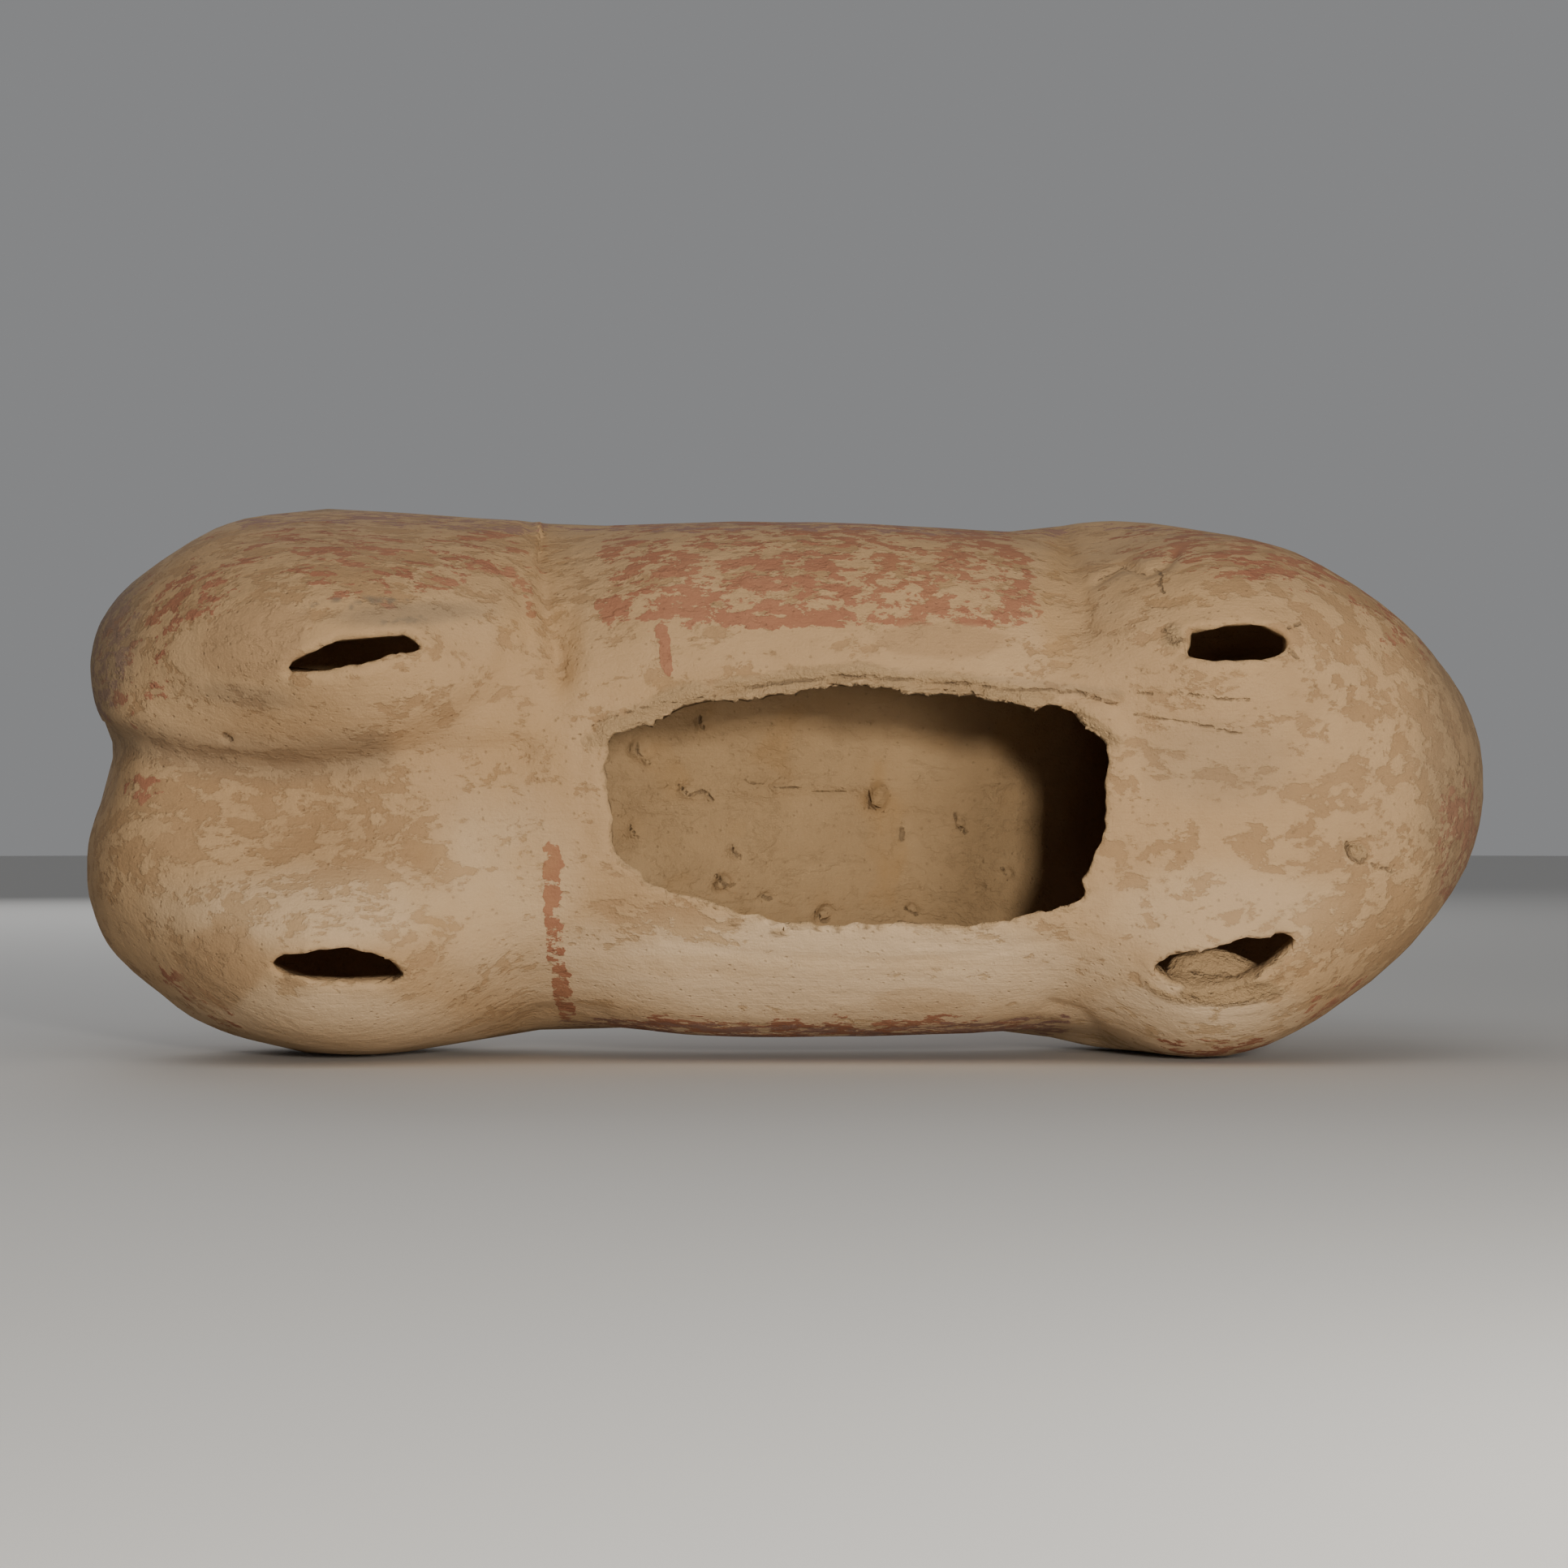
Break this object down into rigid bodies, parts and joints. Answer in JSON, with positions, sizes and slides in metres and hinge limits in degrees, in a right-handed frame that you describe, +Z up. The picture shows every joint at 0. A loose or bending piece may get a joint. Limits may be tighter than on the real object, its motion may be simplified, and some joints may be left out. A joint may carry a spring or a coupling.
{
  "type": "pottery horse figure",
  "caption": "Hollow pottery horse lying on its left side, its legs lost, with leg sockets and a torn belly opening.",
  "frame": {"origin": "middle of the box's underside, on the surface that the figure lies on", "axes": "+X from the rump to the breast, +Y from the belly towards the back and the head, +Z up, out of the horse's right side"},
  "size_m": [0.6356, 0.4722, 0.2449],
  "materials": {
    "painted_pottery": "unglazed buff clay with worn cream slip and flaked red paint, dull"
  },
  "bodies": {
    "root": {"pottery_horse": "painted_pottery"}
  },
  "joints": []
}
